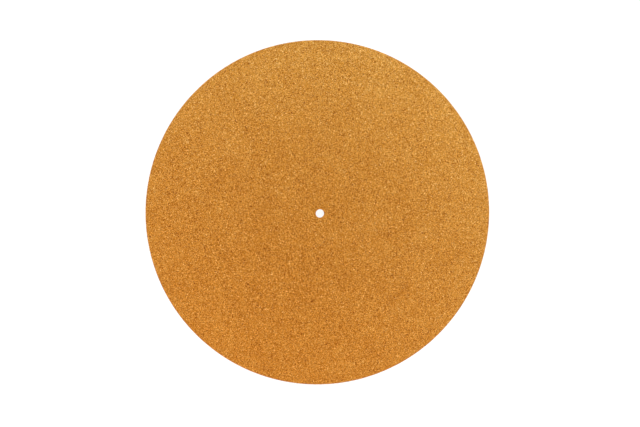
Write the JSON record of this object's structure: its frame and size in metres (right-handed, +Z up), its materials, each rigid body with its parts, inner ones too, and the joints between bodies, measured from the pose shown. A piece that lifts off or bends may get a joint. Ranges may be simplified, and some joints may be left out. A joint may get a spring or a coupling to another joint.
{
  "type": "turntable platter mat",
  "caption": "Flat round cork mat with a small centre hole, which drops over a record player's spindle and carries the record on its platter.",
  "frame": {"origin": "middle of the spindle hole, in the plane of the underside that lies on the platter", "axes": "+Z up out of the top face, along the spindle hole's axis; X and Y lie in the underside, and any direction there is alike"},
  "size_m": [0.3, 0.3, 0.003],
  "materials": {
    "cork": "matte"
  },
  "bodies": {
    "root": {"cork_mat": "cork"}
  },
  "joints": []
}
